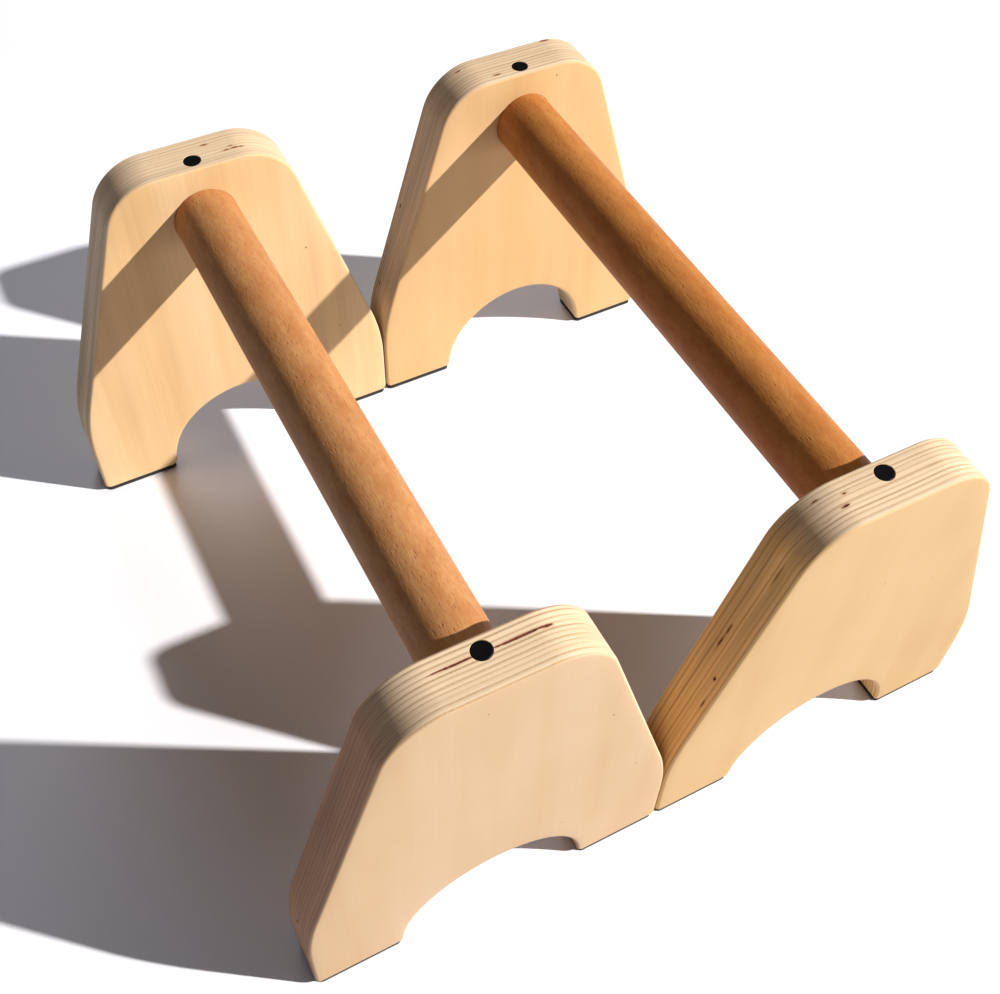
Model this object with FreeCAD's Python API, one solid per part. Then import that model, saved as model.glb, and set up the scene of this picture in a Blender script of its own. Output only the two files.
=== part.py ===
import FreeCAD, Part
import math
import os

# A pair of low wooden push-up bars (parallettes).  Each unit is two plywood plates
# joined by one round wooden bar.  Millimetres, +Z up, origin on the floor under the
# middle of the pair, +X across the two units, +Y along the bars.

# ---- driving dimensions -------------------------------------------------------
PLY_COUNT = 21
PLY_THICKNESS = 1.4
PLATE_THICKNESS = PLY_COUNT * PLY_THICKNESS

TOTAL_HEIGHT = 245.0
PAD_THICKNESS = 3.0
FOOT_HALF_WIDTH = 108.8        # outer sides of the feet, which stand upright
TOP_HALF_WIDTH = 52.0          # where the slanting sides would meet the top edge
SHOULDER_HEIGHT = 64.0         # where the slanting sides would meet the upright ones
TOP_CORNER_RADIUS = 36.0
SHOULDER_RADIUS = 150.0
FOOT_CORNER_RADIUS = 4.0
ARCH_RADIUS = 55.8             # half-round opening between the feet
EDGE_EASE = 2.0                # rounding of the plates' long edges

BAR_DIAMETER = 40.0
BAR_CLEAR_LENGTH = 355.0       # between the inner faces of the plates
BAR_HEIGHT = 209.0             # bar axis above the floor
BAR_END_CHAMFER = 1.0
GLUE_GAP = 0.1                 # around the bar in its sockets

SCREW_INSET = 8.5              # screw axis from the plate's inner face
SOCKET_DEPTH = 2 * SCREW_INSET
SCREW_SHANK_DIAMETER = 6.0
SCREW_HEAD_DIAMETER = 9.6
SCREW_HEAD_RIM = 0.8
SCREW_LENGTH = 48.0            # overall, head included
SCREW_POINT_LENGTH = 5.0
SCREW_POINT_DIAMETER = 1.0
HEX_ACROSS_FLATS = 4.0
HEX_DEPTH = 2.4
SCREW_HOLE_GAP = 0.1           # radial room round the screw in the plate

CAP_DIAMETER = 10.4
CAP_THICKNESS = 2.6
CAP_STEM_DIAMETER = 3.4
CAP_STEM_LENGTH = 1.8
CAP_GAP = 0.05

PAD_INSET = 0.6                # pad edge behind the plate's faces
PAD_END_INSET = 1.2            # pad ends inside the foot's two sides
PAD_CORNER_RADIUS = 3.0

UNIT_GAP = 1.0                 # between the two units where they stand side by side

# ---- derived values -----------------------------------------------------------
PLATE_BOTTOM = PAD_THICKNESS
INNER_FACE_Y = BAR_CLEAR_LENGTH / 2
OUTER_FACE_Y = INNER_FACE_Y + PLATE_THICKNESS
UNIT_CENTRE_X = FOOT_HALF_WIDTH + UNIT_GAP / 2
SCREW_Y = INNER_FACE_Y + SCREW_INSET
HEAD_TOP = TOTAL_HEIGHT - CAP_THICKNESS
HEAD_CONE_HEIGHT = (SCREW_HEAD_DIAMETER - SCREW_SHANK_DIAMETER) / 2
SCREW_BOTTOM = HEAD_TOP - SCREW_LENGTH
PAD_INNER_X = ARCH_RADIUS + PAD_END_INSET
PAD_OUTER_X = FOOT_HALF_WIDTH - PAD_END_INSET

UP = FreeCAD.Vector(0, 0, 1)
ALONG_BAR = FreeCAD.Vector(0, 1, 0)


def rounded_wire(corners):
    """Closed wire in the XZ plane (y = 0) through (x, z, radius) corners, with
    each corner replaced by a tangent arc."""
    points = [FreeCAD.Vector(x, 0, z) for x, z, _ in corners]
    arcs = []
    for i, (_, _, radius) in enumerate(corners):
        corner = points[i]
        to_last = (points[i - 1] - corner).normalize()
        to_next = (points[(i + 1) % len(points)] - corner).normalize()
        half_angle = to_last.getAngle(to_next) / 2
        setback = radius / math.tan(half_angle)
        bisector = (to_last + to_next).normalize()
        centre = corner + bisector * (radius / math.sin(half_angle))
        start = corner + to_last * setback
        end = corner + to_next * setback
        middle = centre - bisector * radius
        arcs.append((start, middle, end))
    edges = []
    for i, (start, middle, end) in enumerate(arcs):
        edges.append(Part.Arc(start, middle, end).toShape())
        next_start = arcs[(i + 1) % len(arcs)][0]
        edges.append(Part.LineSegment(end, next_start).toShape())
    return Part.Wire(edges)


def revolved(profile):
    """Solid of revolution about the Z axis from a closed list of (radius, z)."""
    points = [FreeCAD.Vector(r, 0, z) for r, z in profile]
    wire = Part.makePolygon(points + points[:1])
    return Part.Face(wire).revolve(FreeCAD.Vector(0, 0, 0), UP, 360)


def edges_where(shape, test):
    """The edges whose vertices and midpoint all satisfy test(point)."""
    found = []
    for edge in shape.Edges:
        middle = edge.valueAt((edge.FirstParameter + edge.LastParameter) / 2)
        points = [middle] + [vertex.Point for vertex in edge.Vertexes]
        if all(test(point) for point in points):
            found.append(edge)
    return found


def plate_blank():
    """One plate, inner face on y = 0 and outer face at y = PLATE_THICKNESS, with
    its arch and its eased edges but no holes."""
    outline = rounded_wire([
        (-FOOT_HALF_WIDTH, PLATE_BOTTOM, FOOT_CORNER_RADIUS),
        (-FOOT_HALF_WIDTH, SHOULDER_HEIGHT, SHOULDER_RADIUS),
        (-TOP_HALF_WIDTH, TOTAL_HEIGHT, TOP_CORNER_RADIUS),
        (TOP_HALF_WIDTH, TOTAL_HEIGHT, TOP_CORNER_RADIUS),
        (FOOT_HALF_WIDTH, SHOULDER_HEIGHT, SHOULDER_RADIUS),
        (FOOT_HALF_WIDTH, PLATE_BOTTOM, FOOT_CORNER_RADIUS),
    ])
    blank = Part.Face(outline).extrude(FreeCAD.Vector(0, PLATE_THICKNESS, 0))
    arch_start = FreeCAD.Vector(0, -1, PLATE_BOTTOM)
    arch = Part.makeCylinder(ARCH_RADIUS, PLATE_THICKNESS + 2, arch_start, ALONG_BAR)
    blank = blank.cut(arch)
    arch_corners = edges_where(
        blank,
        lambda p: abs(p.z - PLATE_BOTTOM) < 0.01 and abs(abs(p.x) - ARCH_RADIUS) < 0.01)
    blank = blank.makeFillet(FOOT_CORNER_RADIUS, arch_corners)
    for face_y in (0, PLATE_THICKNESS):
        rim = edges_where(blank, lambda p: abs(p.y - face_y) < 0.01)
        blank = blank.makeFillet(EDGE_EASE, rim)
    return blank


def screw_profile(gap):
    """Half outline of the countersunk screw, grown sideways by gap."""
    head = SCREW_HEAD_DIAMETER / 2 + gap
    shank = SCREW_SHANK_DIAMETER / 2 + gap
    rim_bottom = HEAD_TOP - SCREW_HEAD_RIM
    cone_bottom = rim_bottom - HEAD_CONE_HEIGHT
    return [
        (0, HEAD_TOP),
        (head, HEAD_TOP),
        (head, rim_bottom),
        (shank, cone_bottom),
        (shank, SCREW_BOTTOM + SCREW_POINT_LENGTH),
        (SCREW_POINT_DIAMETER / 2 + gap, SCREW_BOTTOM),
        (0, SCREW_BOTTOM),
    ]


def screw():
    """Countersunk screw with a hexagon socket, on the Z axis."""
    body = revolved(screw_profile(0))
    corner_radius = HEX_ACROSS_FLATS / math.sqrt(3)
    corners = []
    for i in range(6):
        angle = math.radians(60 * i)
        corners.append(FreeCAD.Vector(
            corner_radius * math.cos(angle), corner_radius * math.sin(angle), HEAD_TOP))
    hexagon = Part.Face(Part.makePolygon(corners + corners[:1]))
    return body.cut(hexagon.extrude(FreeCAD.Vector(0, 0, -HEX_DEPTH)))


def cap():
    """Round cover cap flush with the plate's top edge, with a stem that enters the
    screw's socket, on the Z axis."""
    radius = CAP_DIAMETER / 2
    stem = CAP_STEM_DIAMETER / 2
    return revolved([
        (0, TOTAL_HEIGHT),
        (radius, TOTAL_HEIGHT),
        (radius, HEAD_TOP),
        (stem, HEAD_TOP),
        (stem, HEAD_TOP - CAP_STEM_LENGTH),
        (0, HEAD_TOP - CAP_STEM_LENGTH),
    ])


def plate(blank, side, fastener_hole):
    """Plate in place on the front (side = -1) or back (side = 1) of a unit, with its
    bar socket and its screw hole."""
    placed = blank.copy()
    if side < 0:
        placed = placed.mirror(FreeCAD.Vector(0, 0, 0), ALONG_BAR)
    placed.translate(FreeCAD.Vector(0, side * INNER_FACE_Y, 0))
    socket = Part.makeCylinder(
        BAR_DIAMETER / 2 + GLUE_GAP, SOCKET_DEPTH + 1,
        FreeCAD.Vector(0, side * (INNER_FACE_Y - 1), BAR_HEIGHT), ALONG_BAR * side)
    hole = fastener_hole.copy()
    hole.translate(FreeCAD.Vector(0, side * SCREW_Y, 0))
    return placed.cut(socket).cut(hole)


def grip_bar():
    """Round bar let into both plates, with a screw hole down into each end."""
    length = BAR_CLEAR_LENGTH + 2 * SOCKET_DEPTH
    bar = Part.makeCylinder(
        BAR_DIAMETER / 2, length, FreeCAD.Vector(0, -length / 2, BAR_HEIGHT), ALONG_BAR)
    rims = edges_where(bar, lambda p: abs(abs(p.y) - length / 2) < 0.01)
    bar = bar.makeChamfer(BAR_END_CHAMFER, rims)
    for side in (-1, 1):
        hole = revolved(screw_profile(0))
        hole.translate(FreeCAD.Vector(0, side * SCREW_Y, 0))
        bar = bar.cut(hole)
    return bar


def pad(foot_side, side):
    """Rubber pad with rounded corners under one foot, centred under the plate's
    thickness."""
    width = PAD_OUTER_X - PAD_INNER_X
    depth = PLATE_THICKNESS - 2 * PAD_INSET
    low_x = PAD_INNER_X if foot_side > 0 else -PAD_OUTER_X
    centre_y = side * (INNER_FACE_Y + PLATE_THICKNESS / 2)
    corner = FreeCAD.Vector(low_x, centre_y - depth / 2, 0)
    slab = Part.makeBox(width, depth, PAD_THICKNESS, corner)
    upright = [edge for edge in slab.Edges if edge.BoundBox.ZLength > PAD_THICKNESS / 2]
    return slab.makeFillet(PAD_CORNER_RADIUS, upright)


def unit_parts(outer_side):
    """Every piece of one unit about x = 0, by name.  outer_side is the X side of the
    unit that faces away from the other unit."""
    blank = plate_blank()
    bore_radius = CAP_DIAMETER / 2 + CAP_GAP
    counterbore = Part.makeCylinder(
        bore_radius, CAP_THICKNESS + 1, FreeCAD.Vector(0, 0, HEAD_TOP))
    fastener_hole = counterbore.fuse(revolved(screw_profile(SCREW_HOLE_GAP)))
    parts = {"grip_bar": grip_bar()}
    for end, side in (("front", -1), ("back", 1)):
        shift = FreeCAD.Vector(0, side * SCREW_Y, 0)
        parts[f"{end}_plate"] = plate(blank, side, fastener_hole)
        parts[f"{end}_screw"] = screw().translated(shift)
        parts[f"{end}_cap"] = cap().translated(shift)
        parts[f"{end}_outer_pad"] = pad(outer_side, side)
        parts[f"{end}_inner_pad"] = pad(-outer_side, side)
    return parts


os.makedirs("parts", exist_ok=True)
for unit, side in (("left", -1), ("right", 1)):
    for name, shape in unit_parts(side).items():
        placed = shape.translated(FreeCAD.Vector(side * UNIT_CENTRE_X, 0, 0))
        placed.exportStep(f"parts/{unit}_{name}.step")
        box = placed.BoundBox
        print(f"{unit}_{name}", placed.isValid(), len(placed.Solids), round(placed.Volume),
              [round(v, 2) for v in (box.XMin, box.XMax, box.YMin, box.YMax, box.ZMin, box.ZMax)])
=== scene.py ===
import math
import random

import bpy
import numpy as np
from mathutils import Matrix, Vector, noise


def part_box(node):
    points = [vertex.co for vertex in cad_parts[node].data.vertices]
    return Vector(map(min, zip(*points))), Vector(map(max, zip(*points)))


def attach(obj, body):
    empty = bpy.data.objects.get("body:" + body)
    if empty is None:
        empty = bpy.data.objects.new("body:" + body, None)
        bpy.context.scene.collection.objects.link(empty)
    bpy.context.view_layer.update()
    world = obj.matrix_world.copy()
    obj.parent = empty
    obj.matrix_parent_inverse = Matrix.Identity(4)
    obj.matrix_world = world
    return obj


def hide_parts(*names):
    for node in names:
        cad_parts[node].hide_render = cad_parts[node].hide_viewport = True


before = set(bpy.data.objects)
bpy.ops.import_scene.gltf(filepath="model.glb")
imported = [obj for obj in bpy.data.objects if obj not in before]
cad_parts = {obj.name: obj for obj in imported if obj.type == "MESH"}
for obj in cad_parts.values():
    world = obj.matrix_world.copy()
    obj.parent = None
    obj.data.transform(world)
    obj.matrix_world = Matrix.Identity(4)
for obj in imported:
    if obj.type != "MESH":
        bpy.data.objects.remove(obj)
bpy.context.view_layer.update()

MM = 0.001

# ---- dimensions, in metres: from the frame, or as the design states them ----------
UNITS = ("left", "right")
ENDS = (("front", -1), ("back", 1))      # name, and side of the origin along Y

plate_low, plate_high = (Vector(corner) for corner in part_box("left_back_plate"))
bar_low, bar_high = (Vector(corner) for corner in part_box("left_grip_bar"))
cap_low, cap_high = (Vector(corner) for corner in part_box("left_back_cap"))
screw_low, screw_high = (Vector(corner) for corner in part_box("left_back_screw"))

UNIT_CENTRE = -(bar_low.x + bar_high.x) / 2
INNER_FACE = plate_low.y
THICKNESS = plate_high.y - plate_low.y
PLY_COUNT = 21
PLY = THICKNESS / PLY_COUNT
FOOT_LEVEL = plate_low.z
TOP_LEVEL = plate_high.z
FOOT_HALF_WIDTH = (plate_high.x - plate_low.x) / 2
TOP_HALF_WIDTH = 52 * MM
SHOULDER_LEVEL = 64 * MM
TOP_CORNER_RADIUS = 36 * MM
SHOULDER_RADIUS = 150 * MM
FOOT_CORNER_RADIUS = 4 * MM
ARCH_RADIUS = 55.8 * MM
EDGE_EASE = 2 * MM
BAR_RADIUS = (bar_high.x - bar_low.x) / 2
BAR_LEVEL = (bar_low.z + bar_high.z) / 2
BAR_HALF_LENGTH = bar_high.y
GLUE_GAP = 0.1 * MM
SCREW_Y = (cap_low.y + cap_high.y) / 2
CAP_RADIUS = (cap_high.x - cap_low.x) / 2
HEAD_TOP = screw_high.z
HEAD_RADIUS = (screw_high.x - screw_low.x) / 2
HEAD_RIM = 0.8 * MM
SHANK_RADIUS = 3 * MM
SCREW_END = screw_low.z
SCREW_POINT = 5 * MM             # length of the screw's tapered point

# ---- small mesh tools ---------------------------------------------------------------


def new_object(name, vertices, faces, material):
    """A mesh object from vertices in the row frame."""
    mesh = bpy.data.meshes.new(name)
    mesh.from_pydata([tuple(v) for v in vertices], [], faces)
    mesh.materials.append(material)
    obj = bpy.data.objects.new(name, mesh)
    bpy.context.scene.collection.objects.link(obj)
    return obj


def finish_shading(obj, sharp_degrees=35):
    obj.data.shade_smooth()
    obj.data.set_sharp_from_angle(angle=math.radians(sharp_degrees))


def make_outward(obj):
    """Turns the mesh inside out if its faces point inwards."""
    mesh = obj.data
    mesh.calc_loop_triangles()
    points = np.array([v.co[:] for v in mesh.vertices])
    corners = np.array([t.vertices[:] for t in mesh.loop_triangles])
    a, b, c = points[corners[:, 0]], points[corners[:, 1]], points[corners[:, 2]]
    if np.einsum("ij,ij->i", a, np.cross(b, c)).sum() < 0:
        mesh.flip_normals()


def rings_mesh(name, rings, material):
    """Closed mesh through rings of points; the first and last rings are closed with
    a fan about their middle."""
    count = len(rings[0])
    vertices = [point for ring in rings for point in ring]
    faces = []
    for r in range(len(rings) - 1):
        for i in range(count):
            j = (i + 1) % count
            faces.append((r * count + i, r * count + j,
                          (r + 1) * count + j, (r + 1) * count + i))
    for r, flip in ((0, True), (len(rings) - 1, False)):
        centre = len(vertices)
        vertices.append(sum((Vector(p) for p in rings[r]), Vector()) / count)
        for i in range(count):
            j = (i + 1) % count
            a, b = r * count + i, r * count + j
            faces.append((centre, b, a) if flip else (centre, a, b))
    obj = new_object(name, vertices, faces, material)
    make_outward(obj)
    return obj


def upright_rings(profile, segments, x, y):
    """Rings about a vertical axis from (radius, height) pairs; a radius may be a
    function of the angle."""
    rings = []
    for radius, height in profile:
        ring = []
        for i in range(segments):
            angle = 2 * math.pi * i / segments
            r = radius(angle) if callable(radius) else radius
            ring.append(Vector((x + r * math.cos(angle), y + r * math.sin(angle), height)))
        rings.append(ring)
    return rings


def cut(obj, cutters):
    """Subtracts each cutter from obj, keeps the result as plain mesh, and deletes the
    cutters. Faces left by a cutter keep that cutter's material."""
    for cutter in cutters:
        modifier = obj.modifiers.new("cut", "BOOLEAN")
        modifier.operation = "DIFFERENCE"
        modifier.solver = "EXACT"
        modifier.material_mode = "TRANSFER"
        modifier.object = cutter
    evaluated = obj.evaluated_get(bpy.context.evaluated_depsgraph_get())
    result = bpy.data.meshes.new_from_object(evaluated)
    obj.modifiers.clear()
    obj.data = result
    for cutter in cutters:
        bpy.data.objects.remove(cutter)


# ---- procedural materials -----------------------------------------------------------


class Graph:
    """A material whose nodes are made by short calls. Inputs may be numbers, colours
    or other nodes' outputs."""

    def __init__(self, name):
        self.material = bpy.data.materials.new(name)
        self.material.use_nodes = True
        self.tree = self.material.node_tree
        self.tree.nodes.clear()
        self.output = self.tree.nodes.new("ShaderNodeOutputMaterial")

    def node(self, kind, inputs=(), **settings):
        made = self.tree.nodes.new("ShaderNode" + kind)
        for key, value in settings.items():
            setattr(made, key, value)
        pairs = inputs.items() if isinstance(inputs, dict) else enumerate(inputs)
        for key, value in pairs:
            if value is None:
                continue
            if isinstance(value, bpy.types.NodeSocket):
                self.tree.links.new(value, made.inputs[key])
            else:
                made.inputs[key].default_value = value
        return made

    def math(self, operation, a, b=None, c=None, clamp=False):
        made = self.node("Math", (a, b, c), operation=operation, use_clamp=clamp)
        return made.outputs[0]

    def position(self):
        return self.node("TexCoord").outputs["Object"]

    def split(self, vector):
        return self.node("SeparateXYZ", (vector,)).outputs[:]

    def stretch(self, vector, scale, offset=(0, 0, 0)):
        made = self.node("Mapping", {"Vector": vector, "Scale": scale, "Location": offset})
        return made.outputs[0]

    def noise(self, vector, scale=1.0, detail=2.0, roughness=0.5):
        made = self.node("TexNoise", {"Vector": vector, "Scale": scale,
                                      "Detail": detail, "Roughness": roughness})
        return made.outputs["Fac"]

    def remap(self, value, low, high, to_low=0.0, to_high=1.0):
        made = self.node("MapRange", (value, low, high, to_low, to_high), clamp=True)
        return made.outputs[0]

    def blend(self, factor, a, b, mode="MIX"):
        made = self.node("Mix", data_type="RGBA", blend_type=mode)
        for index, value in ((0, factor), (6, a), (7, b)):
            if isinstance(value, bpy.types.NodeSocket):
                self.tree.links.new(value, made.inputs[index])
            elif index == 0:
                made.inputs[index].default_value = value
            else:
                made.inputs[index].default_value = (*value, 1.0)
        return made.outputs[2]

    def bump(self, height, strength, distance):
        made = self.node("Bump", {"Height": height, "Strength": strength,
                                  "Distance": distance})
        return made.outputs[0]

    def surface(self, **inputs):
        shader = self.node("BsdfPrincipled")
        for key, value in inputs.items():
            socket = shader.inputs[key.replace("_", " ")]
            if isinstance(value, bpy.types.NodeSocket):
                self.tree.links.new(value, socket)
            elif isinstance(value, tuple):
                socket.default_value = (*value, 1.0)
            else:
                socket.default_value = value
        self.tree.links.new(shader.outputs[0], self.output.inputs[0])
        return self.material


def srgb(red, green, blue):
    """Linear colour from 0-255 display values."""
    def linear(value):
        value /= 255
        return value / 12.92 if value <= 0.04045 else ((value + 0.055) / 1.055) ** 2.4
    return tuple(linear(v) for v in (red, green, blue))


def scaled(colour, factors):
    """Display colour with each channel multiplied by its own factor."""
    return tuple(value * factor for value, factor in zip(colour, factors))


def ply_layers(g, place, shift, seed):
    """Number of the ply that a point is in, how far it is from a glue line (in plies),
    and the ply's own random tone. The plies are uneven and waver a little."""
    _, y, _ = g.split(place)
    depth = g.math("SUBTRACT", g.math("ABSOLUTE", y), INNER_FACE)
    waviness = g.noise(g.stretch(place, (40, 40, 40), shift), detail=1.0)
    uneven = g.noise(g.stretch(place, (0, 210, 0), shift), detail=1.0)
    ply = g.math("DIVIDE", depth, PLY)
    ply = g.math("ADD", ply, g.remap(waviness, 0.3, 0.7, -0.12, 0.12))
    ply = g.math("ADD", ply, g.remap(uneven, 0.3, 0.7, -0.4, 0.4))
    ply = g.math("MINIMUM", g.math("MAXIMUM", ply, 0.01), PLY_COUNT - 0.01)
    index = g.math("FLOOR", ply)
    within = g.math("SUBTRACT", ply, index)
    from_line = g.math("MINIMUM", within, g.math("SUBTRACT", 1.0, within))
    number = g.math("ADD", index, seed * 17.0)
    tone = g.node("TexWhiteNoise", {"W": number}, noise_dimensions="1D").outputs["Value"]
    return index, from_line, tone


def grain_contrast(g, layers, facing_up, facing_aside, stripes):
    """How far a point of the edge looks like end grain, from 0 to about 1. A ply's
    tone is rounded off towards its glue lines. stripes is the contrast on top."""
    index, from_line, tone = layers
    cross_ply = g.math("MODULO", index, 2.0)
    end_grain = g.math("ADD", g.math("MULTIPLY", cross_ply, facing_aside),
                       g.math("MULTIPLY", g.math("SUBTRACT", 1.0, cross_ply), facing_up))
    depth_of_tone = g.math("MULTIPLY", g.remap(from_line, 0.08, 0.36, 0.15, 1.0),
                           g.remap(tone, 0, 1, 0.55, 1.1))
    soft_grain = g.math("MULTIPLY", g.remap(end_grain, 0.25, 0.85), depth_of_tone)
    contrast = g.remap(facing_up, 0.3, 0.95, 0.9, stripes)
    return g.math("ADD", 0.4, g.math("MULTIPLY", g.math("SUBTRACT", soft_grain, 0.4), contrast))


def edge_wood(g, place, shift, layers, fibre, shown_grain, facing_up):
    """Colour of the plies' edges, which drifts along each ply."""
    tone = layers[2]
    long_grain = g.blend(g.remap(fibre, 0.35, 0.7), srgb(221, 198, 168), srgb(210, 185, 153))
    pores = g.noise(g.stretch(place, (900, 2600, 900), shift), detail=2.0)
    end_grain = g.blend(g.remap(pores, 0.3, 0.7), srgb(192, 162, 127), srgb(168, 133, 96))
    colour = g.blend(shown_grain, long_grain, end_grain)
    drift = g.noise(g.stretch(place, (9, 130, 9), shift), detail=2.0)
    sway = g.math("MULTIPLY", g.remap(drift, 0.3, 0.7, -0.08, 0.05),
                  g.remap(facing_up, 0.3, 0.95, 3.0, 1.0))
    toned = g.math("ADD", g.remap(tone, 0, 1, 1.03, 0.95), sway)
    return g.blend(1.0, colour, g.node("CombineColor", (toned,) * 3).outputs[0], "MULTIPLY")


def face_wood(g, place, shift, lines, face_colour, figuring):
    """Colour of the rotary-cut face veneer: broad bands, fine lines, some figure and
    paler clouds."""
    bands = g.noise(g.stretch(place, (34, 0, 2.6), shift), detail=2.0)
    figure = g.noise(g.stretch(place, (115, 0, 5), shift), detail=3.0, roughness=0.5)
    clouds = g.noise(g.stretch(place, (11, 0, 8), shift), detail=3.0)
    deeper = srgb(*scaled(face_colour, (0.965, 0.945, 0.89)))
    paler = srgb(*scaled(face_colour, (1.03, 1.045, 1.07)))
    colour = g.blend(g.remap(bands, 0.35, 0.68), srgb(*face_colour), deeper)
    colour = g.blend(g.remap(lines, 0.45, 0.75, 0.0, 0.05 * figuring), colour, srgb(172, 136, 100))
    colour = g.blend(g.remap(figure, 0.4, 0.7, 0.0, 0.12 * figuring), colour, srgb(186, 146, 104))
    return g.blend(g.remap(clouds, 0.38, 0.68, 0.0, 0.45), colour, paler)


def stained(g, place, colour, stains):
    """Colour with ragged reddish patches. A stain is (centre, half size, lean,
    strength)."""
    ragged = g.node("TexNoise", {"Vector": place, "Scale": 420.0, "Detail": 2.0}).outputs["Color"]
    nudged = g.node("VectorMath", (ragged, (0.5, 0.5, 0.5)), operation="SUBTRACT").outputs[0]
    nudged = g.node("VectorMath", (nudged, (0.0024, 0.0008, 0.0024)), operation="MULTIPLY").outputs[0]
    nudged = g.node("VectorMath", (place, nudged), operation="ADD").outputs[0]
    for centre, half_size, lean, strength in stains:
        local = g.node("Mapping", {"Vector": nudged, "Location": centre, "Rotation": (0, lean, 0),
                                   "Scale": half_size}, vector_type="TEXTURE").outputs[0]
        away = g.node("VectorMath", (local,), operation="LENGTH").outputs["Value"]
        colour = g.blend(g.remap(away, 1.0, 0.3, 0.0, strength), colour, srgb(146, 86, 48))
    return colour


def plywood_material(name, seed, look, stains):
    """Birch plywood: pale face veneers, and edges where each ply shows end grain or long grain as
    its fibres meet the surface, with stains round cracks and gaps. A tint paints shade, and on the right
    front plate warm bounce light, onto the left-facing sides."""
    face_colour, painted_side_shade_tint, stripes, figuring = look
    g = Graph(name)
    place = g.position()
    shift = (seed * 3.7, seed * 1.3, seed * 2.1)
    normal_x, _, normal_z = g.split(g.node("TexCoord").outputs["Normal"])
    facing_up = g.math("ABSOLUTE", normal_z)
    facing_aside = g.math("ABSOLUTE", normal_x)
    layers = ply_layers(g, place, shift, seed)
    index, from_line, _ = layers
    fibre = g.noise(g.stretch(place, (26, 2600, 26), shift), detail=3.0, roughness=0.6)
    lines = g.noise(g.stretch(place, (700, 0, 14), shift), detail=2.0)

    shown_grain = grain_contrast(g, layers, facing_up, facing_aside, stripes)
    edge = edge_wood(g, place, shift, layers, fibre, shown_grain, facing_up)
    # Painted shade: the left-facing sides, and the rounding where they meet the top, face away from the
    # key light. They are tinted darker and redder for each plate, and on the right front plate the tint
    # paints warm bounce light.
    painted_shade_side = g.math("MULTIPLY", g.remap(facing_up, 0.92, 0.45), g.remap(normal_x, 0.2, -0.2))
    edge = g.blend(painted_shade_side, edge, g.blend(1.0, edge, painted_side_shade_tint, "MULTIPLY"))
    edge = g.blend(g.remap(from_line, 0.02, 0.1, 0.16, 0.0), edge, srgb(160, 112, 74))

    veneer = g.math("MAXIMUM", g.math("GREATER_THAN", index, PLY_COUNT - 1.5),
                    g.math("LESS_THAN", index, 0.5))
    faces_out = g.math("SUBTRACT", 1.0, g.remap(g.math("MAXIMUM", facing_up, facing_aside), 0.3, 0.9))
    face = face_wood(g, place, shift, lines, face_colour, figuring)
    colour = g.blend(g.math("MULTIPLY", veneer, faces_out), edge, face)
    colour = stained(g, place, colour, stains)

    grain = g.math("ADD", g.math("MULTIPLY", fibre, 0.7), g.math("MULTIPLY", lines, 0.3))
    return g.surface(Base_Color=colour, Roughness=g.remap(grain, 0.3, 0.7, 0.5, 0.62),
                     Specular_IOR_Level=0.18, Normal=g.bump(grain, 0.1, 0.0002))


def void_material():
    """Raw reddish wood inside cracks, knots and core gaps."""
    g = Graph("core_gap")
    grain = g.noise(g.position(), scale=1400, detail=3.0)
    colour = g.blend(g.remap(grain, 0.3, 0.7), srgb(60, 22, 12), srgb(132, 54, 28))
    return g.surface(Base_Color=colour, Roughness=0.85, Normal=g.bump(grain, 0.5, 0.0003))


def beech_material(name, seed, light, dark):
    """Varnished beech: honey brown, with soft mottling, a fine grain and short pores
    that show most where light grazes the bar."""
    g = Graph(name)
    place = g.position()
    shift = (seed * 2.3, seed * 5.1, seed * 1.9)
    streaks = g.noise(g.stretch(place, (90, 1.6, 90), shift), detail=4.0, roughness=0.6)
    mottle = g.noise(g.stretch(place, (120, 48, 120), shift), detail=3.0, roughness=0.65)
    fibre = g.noise(g.stretch(place, (1500, 40, 1500), shift), detail=2.0)
    grit = g.noise(g.stretch(place, (700, 260, 700), shift), detail=3.0, roughness=0.6)
    colour = g.blend(g.remap(streaks, 0.32, 0.68), srgb(*light), srgb(*dark))
    blotch = srgb(*scaled(dark, (0.91, 0.82, 0.74)))
    colour = g.blend(g.remap(mottle, 0.38, 0.68, 0.0, 0.65), colour, blotch)
    colour = g.blend(g.remap(fibre, 0.4, 0.75, 0.0, 0.2), colour, srgb(158, 100, 54))
    cells = g.node("TexVoronoi", {"Vector": g.stretch(place, (850, 260, 850), shift), "Scale": 1.0})
    chosen = g.remap(g.split(cells.outputs["Color"])[0], 0.6, 1.0)
    fleck = g.math("MULTIPLY", g.remap(cells.outputs["Distance"], 0.08, 0.45, 1.0, 0.0), chosen)
    colour = g.blend(g.math("MULTIPLY", fleck, 0.5), colour, srgb(128, 66, 32))
    colour = g.blend(g.remap(grit, 0.42, 0.7, 0.0, 0.3), colour, srgb(146, 84, 44))
    height = g.math("ADD", g.math("MULTIPLY", grit, -0.9), g.math("MULTIPLY", mottle, 0.4))
    height = g.math("SUBTRACT", height, fleck)
    return g.surface(Base_Color=colour, Roughness=0.55, Specular_IOR_Level=0.22,
                     Normal=g.bump(height, 0.6, 0.00035))


def rubber_material():
    g = Graph("rubber")
    grit = g.noise(g.position(), scale=2600, detail=3.0)
    colour = g.blend(g.remap(grit, 0.35, 0.7), srgb(24, 23, 23), srgb(40, 38, 37))
    return g.surface(Base_Color=colour, Roughness=0.8, Normal=g.bump(grit, 0.4, 0.0002))


def cap_material():
    g = Graph("cap_plastic")
    grain = g.noise(g.position(), scale=3200, detail=2.0)
    colour = g.blend(g.remap(grain, 0.4, 0.7), srgb(4, 4, 6), srgb(9, 9, 12))
    return g.surface(Base_Color=colour, Roughness=0.42, Specular_IOR_Level=0.22,
                     Normal=g.bump(grain, 0.2, 0.0001))


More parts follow.
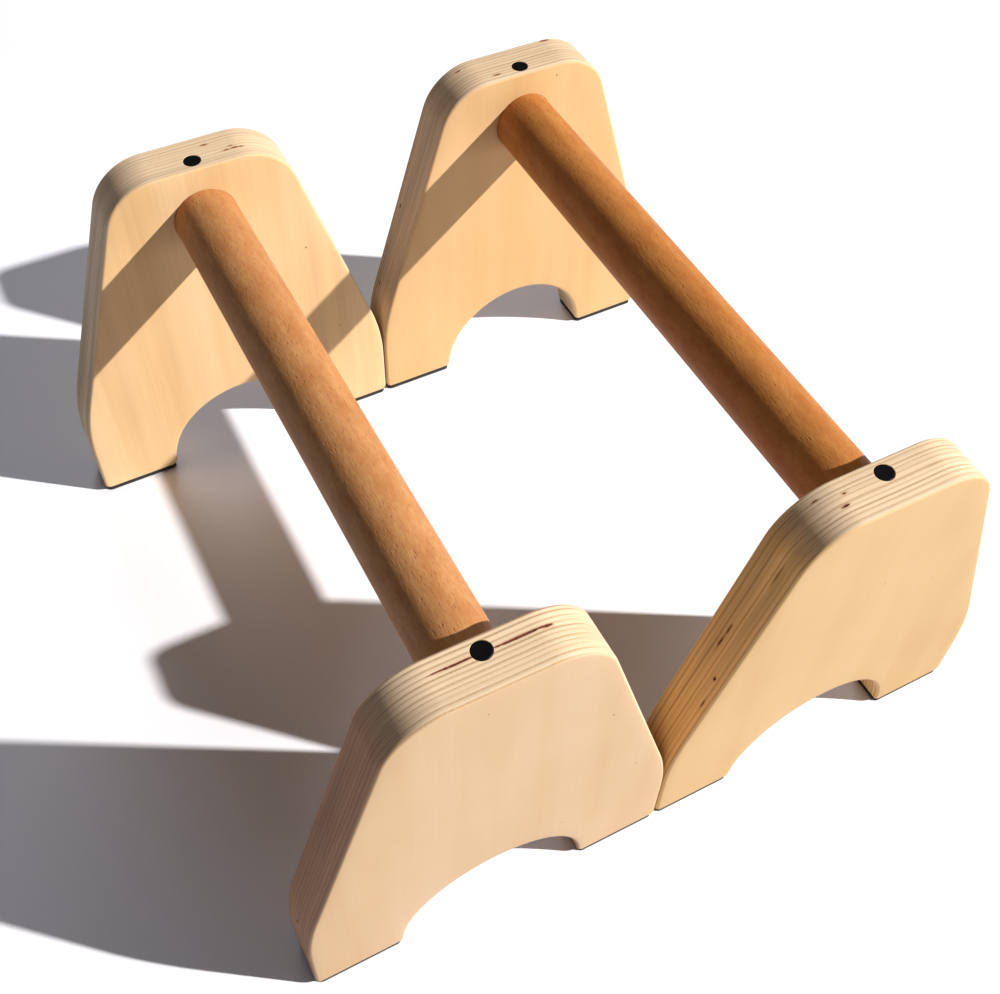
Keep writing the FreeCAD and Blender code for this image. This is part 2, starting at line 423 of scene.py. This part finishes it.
def steel_material():
    g = Graph("zinc_steel")
    place = g.position()
    brushed = g.noise(g.stretch(place, (300, 300, 4000)), detail=2.0)
    colour = g.blend(brushed, srgb(176, 176, 170), srgb(210, 208, 200))
    return g.surface(Base_Color=colour, Metallic=1.0, Roughness=g.remap(brushed, 0.3, 0.7, 0.28, 0.45))


def floor_material():
    g = Graph("floor")
    mottle = g.noise(g.position(), scale=9, detail=4.0)
    colour = g.blend(mottle, srgb(231, 232, 240), srgb(237, 238, 245))
    return g.surface(Base_Color=colour, Roughness=0.7)


# ---- plate outline ------------------------------------------------------------------


def tangent_arc(before, corner, after, radius, steps):
    """Points of the arc that rounds off a corner of a flat outline."""
    back = (before - corner).normalized()
    ahead = (after - corner).normalized()
    half = back.angle(ahead) / 2
    middle_way = (back + ahead).normalized()
    centre = corner + middle_way * (radius / math.sin(half))
    start = corner + back * (radius / math.tan(half)) - centre
    end = corner + ahead * (radius / math.tan(half)) - centre
    turn = math.atan2(start.x * end.y - start.y * end.x, start.dot(end))
    points = []
    for i in range(steps + 1):
        angle = turn * i / steps
        points.append(centre + Vector((start.x * math.cos(angle) - start.y * math.sin(angle),
                                       start.x * math.sin(angle) + start.y * math.cos(angle))))
    return points


def straight(start, end, steps):
    """Points strictly between start and end."""
    return [start.lerp(end, i / steps) for i in range(1, steps)]


def mirrored(points):
    return [Vector((-p.x, p.y)) for p in reversed(points)]


def outer_path():
    """Outline from the left foot's underside over the top to the right foot's."""
    under = Vector((0, FOOT_LEVEL))
    foot = Vector((-FOOT_HALF_WIDTH, FOOT_LEVEL))
    shoulder = Vector((-FOOT_HALF_WIDTH, SHOULDER_LEVEL))
    top = Vector((-TOP_HALF_WIDTH, TOP_LEVEL))
    far_top = Vector((TOP_HALF_WIDTH, TOP_LEVEL))
    foot_arc = tangent_arc(under, foot, shoulder, FOOT_CORNER_RADIUS, 8)
    shoulder_arc = tangent_arc(foot, shoulder, top, SHOULDER_RADIUS, 22)
    top_arc = tangent_arc(shoulder, top, far_top, TOP_CORNER_RADIUS, 32)
    half = foot_arc + straight(foot_arc[-1], shoulder_arc[0], 8) + shoulder_arc
    half += straight(shoulder_arc[-1], top_arc[0], 36) + top_arc
    return half + straight(top_arc[-1], mirrored(top_arc)[0], 14) + mirrored(half)


def inner_path(count):
    """Outline from the left foot's underside round the arch to the right foot's, with
    count points."""
    rounding = FOOT_CORNER_RADIUS
    corner_steps = 8
    centre_x = math.sqrt((ARCH_RADIUS + rounding) ** 2 - rounding ** 2)
    meeting = math.atan2(rounding, centre_x)
    left = []
    for i in range(corner_steps + 1):
        angle = -math.pi / 2 + (math.pi / 2 - meeting) * i / corner_steps
        left.append(Vector((-centre_x + rounding * math.cos(angle),
                            FOOT_LEVEL + rounding + rounding * math.sin(angle))))
    arch = []
    arch_steps = count - 2 * len(left) + 1
    for i in range(1, arch_steps):
        angle = math.pi - meeting - (math.pi - 2 * meeting) * i / arch_steps
        arch.append(Vector((ARCH_RADIUS * math.cos(angle),
                            FOOT_LEVEL + ARCH_RADIUS * math.sin(angle))))
    return left + arch + mirrored(left)


def outline_loop(outer, inner, foot_steps):
    """The whole outline as one closed loop, and each point's outward normal."""
    loop = outer + straight(outer[-1], inner[-1], foot_steps)
    loop += list(reversed(inner)) + straight(inner[0], outer[0], foot_steps)
    normals = []
    for i, point in enumerate(loop):
        ahead = (loop[(i + 1) % len(loop)] - point).normalized()
        back = (point - loop[i - 1]).normalized()
        tangent = (ahead + back).normalized()
        normals.append(Vector((-tangent.y, tangent.x)))
    return loop, normals


# ---- plates ---------------------------------------------------------------------------

OUTER = outer_path()
INNER = inner_path(len(OUTER))
FACE_STEPS = 10                  # quads from the outer path to the arch
LOOP, NORMALS = outline_loop(OUTER, INNER, FACE_STEPS)
END_GRAIN_DEPTH = 0.05 * MM      # end grain sands away a little deeper than long grain
GLUE_LINE = 0.12 * MM            # half the width of the step from ply to ply
EASE_STEPS = 6

lengths = [0.0]                  # distance along OUTER to each of its points
for before, after in zip(OUTER, OUTER[1:]):
    lengths.append(lengths[-1] + (after - before).length)


def edge_place(station):
    """Point and outward normal on the outline, at a distance along it from the middle
    of the top edge, positive to the right."""
    distance = lengths[-1] / 2 + station
    i = max(1, min(np.searchsorted(lengths, distance), len(OUTER) - 1))
    share = (distance - lengths[i - 1]) / (lengths[i] - lengths[i - 1])
    return OUTER[i - 1].lerp(OUTER[i], share), NORMALS[i - 1].lerp(NORMALS[i], share)


def depth_rows():
    """(depth, inset, has_ply_relief) from the inner face to the outer face."""
    ease = []
    for i in range(EASE_STEPS):
        angle = math.pi / 2 * i / (EASE_STEPS - 1)
        ease.append((EDGE_EASE * (1 - math.cos(angle)), EDGE_EASE * (1 - math.sin(angle)), False))
    rows = list(ease)
    for boundary in range(1, PLY_COUNT):
        for offset in (-GLUE_LINE, GLUE_LINE):
            depth = boundary * PLY + offset
            if ease[-1][0] + GLUE_LINE < depth < THICKNESS - ease[-1][0] - GLUE_LINE:
                rows.append((depth, 0.0, True))
    rows += [(THICKNESS - depth, inset, False) for depth, inset, _ in reversed(ease)]
    return rows


def plate_blank(name, side, centre, material):
    """Plate without holes: a grid over each face, and ply steps round the edge."""
    rows = depth_rows()
    count = len(LOOP)
    vertices = []
    for depth, inset, relief in rows:
        ply = int(depth / PLY)
        for point, normal in zip(LOOP, NORMALS):
            low = inset
            if relief:
                end_grain = abs(normal.x) if ply % 2 else abs(normal.y)
                low = END_GRAIN_DEPTH * end_grain
            flat = point - normal * low
            vertices.append((centre + flat.x, side * (INNER_FACE + depth), flat.y))
    faces = []
    for r in range(len(rows) - 1):
        for i in range(count):
            j = (i + 1) % count
            faces.append((r * count + i, r * count + j,
                          (r + 1) * count + j, (r + 1) * count + i))
    columns = len(OUTER)
    for row in (0, len(rows) - 1):
        grid = face_grid(vertices, row * count, columns)
        for k in range(columns - 1):
            for m in range(FACE_STEPS):
                quad = (grid[k][m], grid[k + 1][m], grid[k + 1][m + 1], grid[k][m + 1])
                faces.append(quad if row else quad[::-1])
    obj = new_object(name, vertices, faces, material)
    make_outward(obj)
    return obj


def face_grid(vertices, first, columns):
    """Vertex numbers of a grid that fills one face, column by column from the outer
    path to the arch; adds the vertices between the two paths."""
    count = len(LOOP)
    grid = []
    for k in range(columns):
        outer = first + k
        inner = first + (columns + FACE_STEPS - 1) + (columns - 1 - k)
        column = [outer]
        for m in range(1, FACE_STEPS):
            if k == 0:
                column.append(first + count - m)
            elif k == columns - 1:
                column.append(first + columns - 1 + m)
            else:
                a, b = Vector(vertices[outer]), Vector(vertices[inner])
                column.append(len(vertices))
                vertices.append(tuple(a.lerp(b, m / FACE_STEPS)))
        column.append(inner)
        grid.append(column)
    return grid


def sliver(side, centre, gap, rng, material):
    """Cutter for a crack or core gap in a plate's edge: a lens along the plies whose
    width wanders. gap is (station, depth, length, width, cut), in millimetres."""
    station, depth, length, width, cut_depth = gap
    sides = 8
    step = 1.5
    stations = max(6, int(length / step))
    phase = rng.uniform(0, 100)
    rings = []
    for i in range(stations + 1):
        share = i / stations
        along = station + length * (share - 0.5)
        point, normal = edge_place(along * MM)
        body = max(0.05, math.sin(math.pi * share)) ** 0.6
        ragged = 0.75 + 0.5 * noise.noise(Vector((along * 0.55 + phase, 0, 0)))
        drift = 0.35 * width * noise.noise(Vector((along * 0.08, phase, 0)))
        half_width = width / 2 * body * ragged * MM
        half_cut = cut_depth * body * ragged * MM
        ring = []
        for k in range(sides):
            angle = 2 * math.pi * k / sides
            flat = point + normal * (half_cut * math.cos(angle))
            y = INNER_FACE + (depth + drift) * MM + half_width * math.sin(angle)
            ring.append(Vector((centre + flat.x, side * y, flat.y)))
        rings.append(ring)
    return rings_mesh("gap", rings, material)


def pin_knot(side, centre, spot, material):
    """Cutter for a pin knot in a plate's face: a shallow dimple, taller than it is
    wide. spot is the face, then x, height and radius, in millimetres."""
    x, height, radius = (value * MM for value in spot[1:])
    face = INNER_FACE if spot[0] == "inner" else INNER_FACE + THICKNESS
    wide, deep, tall = 0.8, 0.5, 1.3         # half sizes, in radii
    slices, sides = 6, 12
    rings = []
    for i in range(1, slices):
        angle = math.pi * i / slices
        ring = []
        for k in range(sides):
            turn = 2 * math.pi * k / sides
            r = radius * math.sin(angle)
            ring.append(Vector((centre + x + wide * r * math.cos(turn),
                                side * (face + deep * radius * math.cos(angle)),
                                height + tall * r * math.sin(turn))))
        rings.append(ring)
    return rings_mesh("knot", rings, material)


def joined(objects):
    """One mesh object from several, keeping the first one's material."""
    vertices, faces = [], []
    for obj in objects:
        first = len(vertices)
        vertices += [v.co.copy() for v in obj.data.vertices]
        faces += [[first + i for i in polygon.vertices] for polygon in obj.data.polygons]
    material = objects[0].data.materials[0]
    for obj in objects:
        bpy.data.objects.remove(obj)
    return new_object("joined", vertices, faces, material)


def screw_hole_profile(gap):
    """(radius, height) of the drilled and countersunk hole, from its bottom up."""
    cone = HEAD_RADIUS - SHANK_RADIUS
    return [
        (0.5 * MM + gap, SCREW_END),
        (SHANK_RADIUS + gap, SCREW_END + SCREW_POINT),
        (SHANK_RADIUS + gap, HEAD_TOP - HEAD_RIM - cone),
        (HEAD_RADIUS + gap, HEAD_TOP - HEAD_RIM),
        (HEAD_RADIUS + gap, HEAD_TOP),
    ]


def plate_hole(side, centre, material):
    """Cutter for a plate's screw hole and the wider hole for the cap, which is very
    slightly broken at its mouth."""
    cap_hole = CAP_RADIUS + 0.05 * MM
    mouth = cap_hole + 0.3 * MM
    profile = screw_hole_profile(0.1 * MM) + [
        (cap_hole, HEAD_TOP),
        (cap_hole, TOP_LEVEL - 0.25 * MM),
        (mouth, TOP_LEVEL + 0.05 * MM),
        (mouth, TOP_LEVEL + 2 * MM),
    ]
    return rings_mesh("hole", upright_rings(profile, 48, centre, side * SCREW_Y), material)


def along_bar_rings(profile, segments, centre):
    """Rings about a bar's axis from (radius, y) pairs."""
    rings = []
    for radius, y in profile:
        ring = []
        for i in range(segments):
            angle = 2 * math.pi * i / segments
            ring.append(Vector((centre + radius * math.cos(angle), y,
                                BAR_LEVEL + radius * math.sin(angle))))
        rings.append(ring)
    return rings


def plate_socket(side, centre, material):
    """Cutter for the blind hole that takes the bar's end."""
    radius = BAR_RADIUS + GLUE_GAP
    ends = (side * (INNER_FACE - 2 * MM), side * BAR_HALF_LENGTH)
    rings = along_bar_rings([(radius, y) for y in ends], 96, centre)
    return rings_mesh("socket", rings, material)


# Cracks and core gaps in the plates' edges, in millimetres:
# (place along the edge from the top's middle, depth from the inner face, length, width, cut)
EDGE_GAPS = {
    "left_front": [(-12.5, 9.6, 29, 1.4, 1.0), (18.5, 9.8, 32, 1.7, 1.2), (31.4, 10.3, 6, 1.7, 1.4),
                   (-237, 13.3, 4, 1.0, 1.0)],
    "right_front": [(-25.4, 10.0, 2.2, 1.1, 1.0), (-29.2, 16.3, 5, 1.5, 1.2),
                    (-39.5, 6.1, 3.4, 0.9, 0.8), (-129, 13.0, 9, 0.9, 0.8),
                    (-139.5, 12.6, 8, 1.1, 0.9), (-160, 21.9, 2.6, 1.9, 1.4),
                    (-179, 24.3, 7, 0.7, 0.8)],
    "left_back": [(11.1, 19.4, 4.4, 1.3, 1.1), (21.5, 9.5, 3.0, 0.9, 0.8),
                  (26.7, 9.6, 4.6, 1.1, 1.0), (30.8, 9.3, 3.0, 0.9, 0.8),
                  (24.9, 12.2, 2.6, 0.7, 0.7)],
    "right_back": [(-17.4, 6.6, 6, 1.3, 1.0), (28.2, 27.0, 7, 1.6, 1.1), (-37.4, 22.7, 3.6, 1.2, 1.0),
                   (-143, 22.8, 3.4, 1.1, 0.9), (-208, 21.9, 3.4, 1.1, 0.9)],
}
# Streaks of darker sap wood on the edges, with no opening:
# station, depth from the inner face, length and width (mm), strength
EDGE_STREAKS = {
    "left_front": [(-135, 18.9, 74, 2.6, 0.3), (-195, 8.0, 60, 2.0, 0.25)],
    "right_front": [(-40.5, 18.5, 8, 0.8, 0.6), (25.4, 15.3, 14, 0.6, 0.55),
                    (-79.5, 19.0, 20, 2.0, 0.8), (-137, 12.8, 28, 1.9, 0.6),
                    (-190, 9.5, 66, 1.6, 0.35)],
    "left_back": [(23.5, 9.4, 20, 1.3, 0.4)],
    "right_back": [(16, 6.6, 8, 1.0, 0.3), (-179, 25.3, 5, 1.6, 0.6)],
}
# Pin knots in the plates' faces: face, then distance across, height and radius, in millimetres
PIN_KNOTS = {
    "left_front": [("outer", 62.6, 167.5, 0.5), ("outer", 84.4, 94, 0.42), ("outer", -7, 228, 0.34),
                   ("outer", 41, 62, 0.4), ("inner", -35, 90, 0.5)],
    "right_front": [("outer", 48, 150, 0.38), ("outer", 9, 170, 0.4), ("inner", 28, 130, 0.5)],
    "left_back": [("inner", 59.7, 162, 0.62), ("inner", 77, 84, 0.5), ("outer", -30, 120, 0.5)],
    "right_back": [("inner", 23, 237, 0.5), ("outer", 24, 170, 0.5)],
}
# Face veneer (sRGB), tint that paints shade and warm bounce light onto the left-hand sides (linear),
# strength of the stripes on top, and strength of the figure in the face
PLATE_LOOKS = {
    "left_front": ((193, 165, 133), (0.65, 0.46, 0.38), 1.1, 1.2),
    "right_front": ((193, 162, 117), (1.16, 0.93, 0.56), 1.15, 1.2),
    "left_back": ((222, 187, 142), (1.02, 1.0, 0.99), 0.6, 2.8),
    "right_back": ((209, 171, 123), (1.04, 1.0, 0.96), 0.6, 1.8),
}
# Lighter and darker wood of each bar (sRGB)
BAR_COLOURS = {"left": ((189, 139, 90), (177, 124, 75)), "right": ((187, 127, 66), (170, 108, 50))}


def stain_place(side, centre, streak):
    """Centre, half size, lean and strength of a streak or stain on the edge."""
    station, depth, length, width, strength = streak
    point, normal = edge_place(station * MM)
    middle = (centre + point.x, side * (INNER_FACE + depth * MM), point.y)
    half_size = (length / 2 * MM, width / 2 * MM, 4 * MM)
    return middle, half_size, math.atan2(normal.x, normal.y), strength


def build_plate(unit, end, side, centre, seed):
    corner = f"{unit}_{end}"
    name = f"{corner}_plate"
    gaps = EDGE_GAPS[corner]
    halos = [(station, depth, length + 3, width + 1.6, 0.6) for station, depth, length, width, _ in gaps]
    stains = [stain_place(side, centre, streak) for streak in EDGE_STREAKS[corner] + halos]
    wood = plywood_material(f"birch_plywood_{corner}", seed, PLATE_LOOKS[corner], stains)
    rng = random.Random(seed)
    plate = plate_blank(name + "_wood", side, centre, wood)
    cutters = [sliver(side, centre, gap, rng, GAP_WOOD) for gap in gaps]
    cutters += [pin_knot(side, centre, spot, GAP_WOOD) for spot in PIN_KNOTS[corner]]
    cut(plate, cutters + [plate_hole(side, centre, wood), plate_socket(side, centre, wood)])
    finish_shading(plate)
    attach(plate, f"{unit}_unit")
    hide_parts(name)


# ---- bars, screws, caps and pads --------------------------------------------------------


def build_bar(unit, centre, seed):
    """Hand-sanded dowel: a hair out of true, with chamfered ends and screw holes."""
    name = f"{unit}_grip_bar"
    chamfer = 1 * MM
    wobble = 0.03 * MM
    length = BAR_HALF_LENGTH - chamfer
    steps = 130
    profile = [(BAR_RADIUS - chamfer, -BAR_HALF_LENGTH)]
    profile += [(BAR_RADIUS, -length + 2 * length * i / steps) for i in range(steps + 1)]
    profile += [(BAR_RADIUS - chamfer, BAR_HALF_LENGTH)]
    rings = along_bar_rings(profile, 96, centre)
    for ring in rings[1:-1]:
        for point in ring:
            out = Vector((point.x - centre, 0, point.z - BAR_LEVEL)).normalized()
            sample = Vector((out.x * 1.2, point.y * 28, out.z * 1.2 + seed * 9))
            point -= out * (wobble * (1 + noise.noise(sample)))
    wood = beech_material(f"varnished_beech_{unit}", seed, *BAR_COLOURS[unit])
    bar = rings_mesh(name + "_wood", rings, wood)
    holes = []
    for _, side in ENDS:
        rings = upright_rings(screw_hole_profile(0.02 * MM), 32, centre, side * SCREW_Y)
        holes.append(rings_mesh("hole", rings, wood))
    cut(bar, holes)
    finish_shading(bar)
    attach(bar, f"{unit}_unit")
    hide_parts(name)


def build_screw(unit, end, side, centre):
    """Countersunk screw with a cut thread, a point and a hexagon socket."""
    name = f"{unit}_{end}_screw"
    segments = 24
    pitch = 2.6 * MM
    core = 2.1 * MM
    crest = SHANK_RADIUS
    neck = crest - 0.3 * MM
    thread_top = HEAD_TOP - 14 * MM
    cone = HEAD_RADIUS - crest
    soft = 0.15 * MM
    half_flats = 2 * MM
    socket_depth = 2.4 * MM

    def hexagon(angle):
        return half_flats / math.cos((angle + math.pi / 6) % (math.pi / 3) - math.pi / 6)

    def threaded(height, limit):
        def radius(angle):
            turn = (height / pitch - angle / (2 * math.pi)) % 1.0
            ridge = max(0.0, 1 - abs(turn - 0.5) / 0.28)
            return min(core + (crest - core) * ridge, limit)
        return radius

    profile = [(0.3 * MM, SCREW_END)]
    steps = int((thread_top - SCREW_END) / (pitch / 10))
    for i in range(1, steps):
        height = SCREW_END + (thread_top - SCREW_END) * i / steps
        limit = 0.4 * MM + (height - SCREW_END) * (crest / SCREW_POINT)
        profile.append((threaded(height, limit), height))
    profile += [
        (core, thread_top),
        (neck, thread_top + 0.6 * MM),
        (neck, HEAD_TOP - HEAD_RIM - cone - 0.3 * MM),
        (HEAD_RADIUS, HEAD_TOP - HEAD_RIM),
        (HEAD_RADIUS, HEAD_TOP - soft),
        (HEAD_RADIUS - soft, HEAD_TOP),
        (hexagon, HEAD_TOP),
        (hexagon, HEAD_TOP - socket_depth),
    ]
    rings = upright_rings(profile, segments, centre, side * SCREW_Y)
    screw = rings_mesh(name + "_steel", rings, STEEL)
    finish_shading(screw)
    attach(screw, f"{unit}_unit")
    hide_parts(name)


def build_cap(unit, end, side, centre):
    """Pressed-in cover cap: a shallow dished top with a rounded rim, and a stem."""
    name = f"{unit}_{end}_cap"
    stem = 1.7 * MM
    rim = 0.45 * MM
    dish = 0.22 * MM
    steps = 6
    profile = [
        (stem - 0.2 * MM, cap_low.z),
        (stem, cap_low.z + 0.2 * MM),
        (stem, HEAD_TOP - 0.001 * MM),
        (CAP_RADIUS - 0.3 * MM, HEAD_TOP),
        (CAP_RADIUS, HEAD_TOP + 0.3 * MM),
        (CAP_RADIUS, TOP_LEVEL - rim),
    ]
    for i in range(1, steps + 1):
        angle = math.pi / 2 * i / steps
        profile.append((CAP_RADIUS - rim * (1 - math.cos(angle)),
                        TOP_LEVEL - rim * (1 - math.sin(angle))))
    for i in range(1, steps + 1):
        share = i / steps
        profile.append(((CAP_RADIUS - 0.6 * MM) * (1 - share) + 0.3 * MM * share,
                        TOP_LEVEL - dish * math.sin(math.pi / 2 * share)))
    cap = rings_mesh(name + "_plug", upright_rings(profile, 48, centre, side * SCREW_Y), PLASTIC)
    finish_shading(cap, 50)
    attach(cap, f"{unit}_unit")
    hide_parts(name)


def rounded_rectangle(half_width, half_depth, radius, inset, steps=6):
    """Corner-rounded rectangle about the origin, counter-clockwise, drawn in by inset."""
    points = []
    for cx, cy, start in ((1, 1, 0), (-1, 1, 90), (-1, -1, 180), (1, -1, 270)):
        for i in range(steps + 1):
            angle = math.radians(start + 90 * i / steps)
            points.append((cx * (half_width - radius) + (radius - inset) * math.cos(angle),
                           cy * (half_depth - radius) + (radius - inset) * math.sin(angle)))
    return points


def build_pad(unit, end, place):
    """Die-cut rubber pad with softened edges and a grooved underside."""
    name = f"{unit}_{end}_{place}_pad"
    low, high = (Vector(corner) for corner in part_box(name))
    middle = (low + high) / 2
    half = (high - low) / 2
    radius = 3 * MM
    soft = 0.3 * MM
    bevel = 0.1 * MM
    levels = [(soft, low.z), (bevel, low.z + bevel), (0.0, low.z + soft),
              (0.0, high.z - bevel), (bevel, high.z)]
    rings = []
    for inset, height in levels:
        outline = rounded_rectangle(half.x, half.y, radius, inset)
        rings.append([Vector((middle.x + x, middle.y + y, height)) for x, y in outline])
    pad = rings_mesh(name + "_rubber", rings, RUBBER)
    grooves = []
    spacing = 4 * MM
    margin = 3 * MM
    each_side = 5
    for i in range(-each_side, each_side + 1):
        x = middle.x + i * spacing
        profile = [(-0.6, -0.5), (0.6, -0.5), (0.6, 0.0), (0.25, 0.6), (-0.25, 0.6), (-0.6, 0.0)]
        groove = []
        for y in (low.y + margin, high.y - margin):
            groove.append([Vector((x + a * MM, y, low.z + b * MM)) for a, b in profile])
        grooves.append(rings_mesh("groove", groove, RUBBER))
    cut(pad, [joined(grooves)])
    finish_shading(pad, 50)
    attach(pad, f"{unit}_unit")
    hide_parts(name)


# ---- building the object ------------------------------------------------------------------

GAP_WOOD = void_material()
RUBBER = rubber_material()
PLASTIC = cap_material()
STEEL = steel_material()

for number, unit in enumerate(UNITS):
    centre = UNIT_CENTRE if unit == "right" else -UNIT_CENTRE
    build_bar(unit, centre, seed=number + 1)
    for order, (end, side) in enumerate(ENDS):
        build_plate(unit, end, side, centre, seed=2 * number + order + 1)
        build_screw(unit, end, side, centre)
        build_cap(unit, end, side, centre)
        for place in ("outer", "inner"):
            build_pad(unit, end, place)

# ---- floor, light and camera ---------------------------------------------------------------

AMBIENT_COLOUR = (0.92, 0.93, 1.0)
AMBIENT_STRENGTH = 0.09
BACKDROP_COLOUR = (0.86, 0.87, 0.89)
FLOOR_RADIUS = 5.0
KEY_DIRECTION = (1.0, -0.727, 0.809)
KEY_COLOUR = (1.0, 0.965, 0.92)
FILL_DIRECTION = (0.25, 1.0, 0.5)
FILL_COLOUR = (0.93, 0.95, 1.0)
LIGHT_TARGET = Vector((0, 0, 0.12))
CAMERA_PLACE = (-0.2413, -0.4310, 0.7152)
CAMERA_HEADING = 29.44           # degrees from +Y towards +X
CAMERA_DIP = 52.42               # degrees below the horizon
CAMERA_ROLL = 2.18               # degrees about the line of sight
CAMERA_LENS = 45.37              # millimetres, for a sensor 36 mm wide


def build_floor():
    sides = 96
    start = Vector((FLOOR_RADIUS, 0, 0))
    rim = [Matrix.Rotation(2 * math.pi * i / sides, 3, "Z") @ start for i in range(sides)]
    new_object("floor", rim, [range(sides)], floor_material())


def area_light(name, direction, distance, size, power, colour):
    """Round soft light that shines at the object from a direction."""
    light = bpy.data.lights.new(name, "AREA")
    light.shape = "DISK"
    light.size = size
    light.energy = power
    light.color = colour
    lamp = bpy.data.objects.new(name, light)
    away = Vector(direction).normalized()
    lamp.location = LIGHT_TARGET + away * distance
    lamp.rotation_euler = away.to_track_quat("Z", "Y").to_euler()
    bpy.context.scene.collection.objects.link(lamp)
    return lamp


def build_world():
    """Dim, slightly cool light from all round, with a pale backdrop behind the object."""
    world = bpy.data.worlds.new("studio")
    world.use_nodes = True
    tree = world.node_tree
    ambient = tree.nodes["Background"]
    backdrop = tree.nodes.new("ShaderNodeBackground")
    for shader, colour, strength in ((ambient, AMBIENT_COLOUR, AMBIENT_STRENGTH),
                                     (backdrop, BACKDROP_COLOUR, 1.0)):
        shader.inputs["Color"].default_value = (*colour, 1.0)
        shader.inputs["Strength"].default_value = strength
    chosen = tree.nodes.new("ShaderNodeMixShader")
    seen = tree.nodes.new("ShaderNodeLightPath").outputs["Is Camera Ray"]
    tree.links.new(seen, chosen.inputs["Fac"])
    tree.links.new(ambient.outputs[0], chosen.inputs[1])
    tree.links.new(backdrop.outputs[0], chosen.inputs[2])
    tree.links.new(chosen.outputs[0], tree.nodes["World Output"].inputs["Surface"])
    bpy.context.scene.world = world


def build_camera():
    """Camera high in front of the left unit, looking down at the pair."""
    heading, dip, roll = (math.radians(angle) for angle in (CAMERA_HEADING, CAMERA_DIP, CAMERA_ROLL))
    forward = Vector((math.sin(heading) * math.cos(dip), math.cos(heading) * math.cos(dip),
                      -math.sin(dip)))
    level = Vector((math.cos(heading), -math.sin(heading), 0))
    upward = level.cross(forward)
    right = level * math.cos(roll) + upward * math.sin(roll)
    up = upward * math.cos(roll) - level * math.sin(roll)
    camera = bpy.data.cameras.new("camera")
    camera.sensor_width = 36
    camera.lens = CAMERA_LENS
    camera.clip_start = 0.01
    obj = bpy.data.objects.new("camera", camera)
    turned = Matrix((right, up, -forward)).transposed()
    obj.matrix_world = Matrix.Translation(CAMERA_PLACE) @ turned.to_4x4()
    bpy.context.scene.collection.objects.link(obj)
    bpy.context.scene.camera = obj


build_floor()
build_world()
area_light("key", KEY_DIRECTION, distance=10.0, size=0.18, power=2030, colour=KEY_COLOUR)
fill = area_light("fill", FILL_DIRECTION, distance=6.0, size=3.0, power=140, colour=FILL_COLOUR)
fill.visible_glossy = False
build_camera()
bpy.context.scene.view_settings.view_transform = "Standard"
